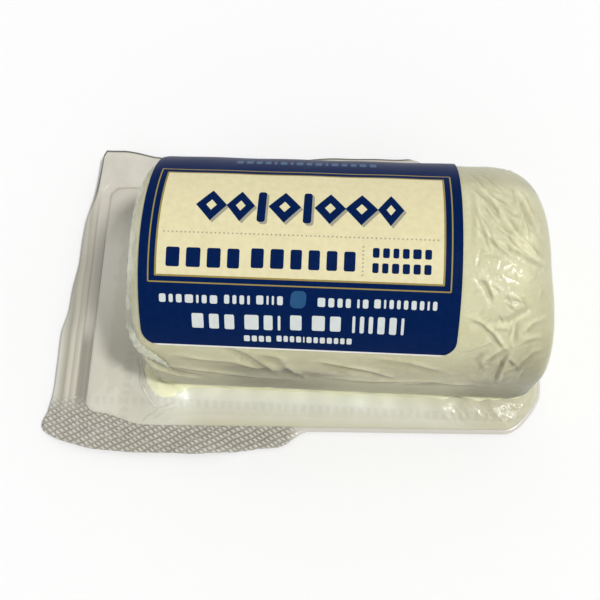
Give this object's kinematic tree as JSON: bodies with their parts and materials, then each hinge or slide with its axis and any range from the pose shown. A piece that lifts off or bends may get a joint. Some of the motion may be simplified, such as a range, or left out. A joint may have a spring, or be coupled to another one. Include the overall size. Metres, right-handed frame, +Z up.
{
  "type": "goat cheese log",
  "caption": "Fresh goat cheese log, vacuum sealed in clear film on a flat backing, with a wide flange at one end and a printed paper label wrapped over it.",
  "frame": {"origin": "centre of the bounding box in plan, at the level of the table the pack lies on", "axes": "+X along the log, from the wide flange to the bare rounded end; +Y from the label's front edge towards the pack's back; +Z up, off the backing"},
  "size_m": [0.1042, 0.0725, 0.0435],
  "materials": {
    "sealed_pack": "soft cream cheese under clear glossy film",
    "front_label": "glossy printed paper, dark blue with a cream panel"
  },
  "bodies": {
    "root": {"sealed_pack": "sealed_pack", "front_label": "front_label"}
  },
  "joints": []
}
